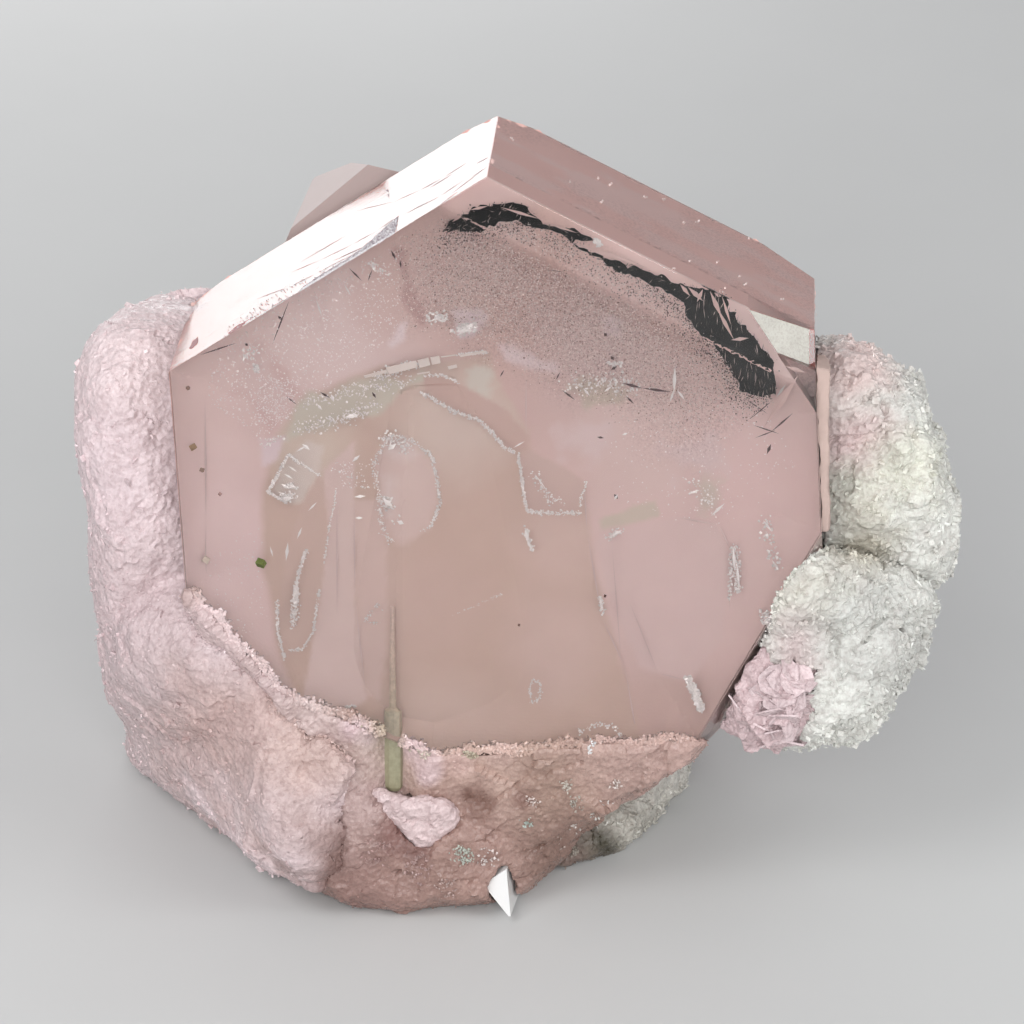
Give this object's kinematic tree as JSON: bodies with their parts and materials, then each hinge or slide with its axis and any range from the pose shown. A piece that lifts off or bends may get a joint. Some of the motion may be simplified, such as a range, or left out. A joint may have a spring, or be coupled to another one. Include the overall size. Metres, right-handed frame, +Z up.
{
  "type": "morganite crystal",
  "caption": "Tabular six-sided pink morganite crystal on a sugary lilac and white matrix, resting on a flat sawn base.",
  "frame": {"origin": "middle of the specimen's outline box, on its flat sawn base", "axes": "+Z up from the base, +X to the right as seen from the front, +Y away from the viewer, through the large crystal face to the back"},
  "size_m": [0.103, 0.0606, 0.0899],
  "materials": {
    "morganite": "clear pink beryl, glassy, with fine growth lines on the side faces",
    "inner_quartz": "cloudy beige-green included crystal",
    "tourmaline": "olive green, glassy",
    "rear_beryl": "brownish pink beryl, glassy, cloudy inside",
    "clear_quartz": "clear, glassy",
    "pale_mica": "lilac-white, pearly",
    "flaky_lepidolite": "pink-lilac flakes with a pearly sheen",
    "lepidolite": "sugary lilac-white, fine-grained, with small bright flakes",
    "albite": "white, granular, with pink and greenish patches",
    "grey_albite": "grey-white, granular"
  },
  "bodies": {
    "root": {"morganite_crystal": "morganite", "inner_quartz": "inner_quartz", "tourmaline_needle": "tourmaline", "rear_beryl_crystal": "rear_beryl", "quartz_point": "clear_quartz", "mica_patch": "pale_mica", "lepidolite_rosette": "flaky_lepidolite", "lepidolite_matrix": "lepidolite", "albite_mass": "albite", "albite_foot": "grey_albite"}
  },
  "joints": []
}
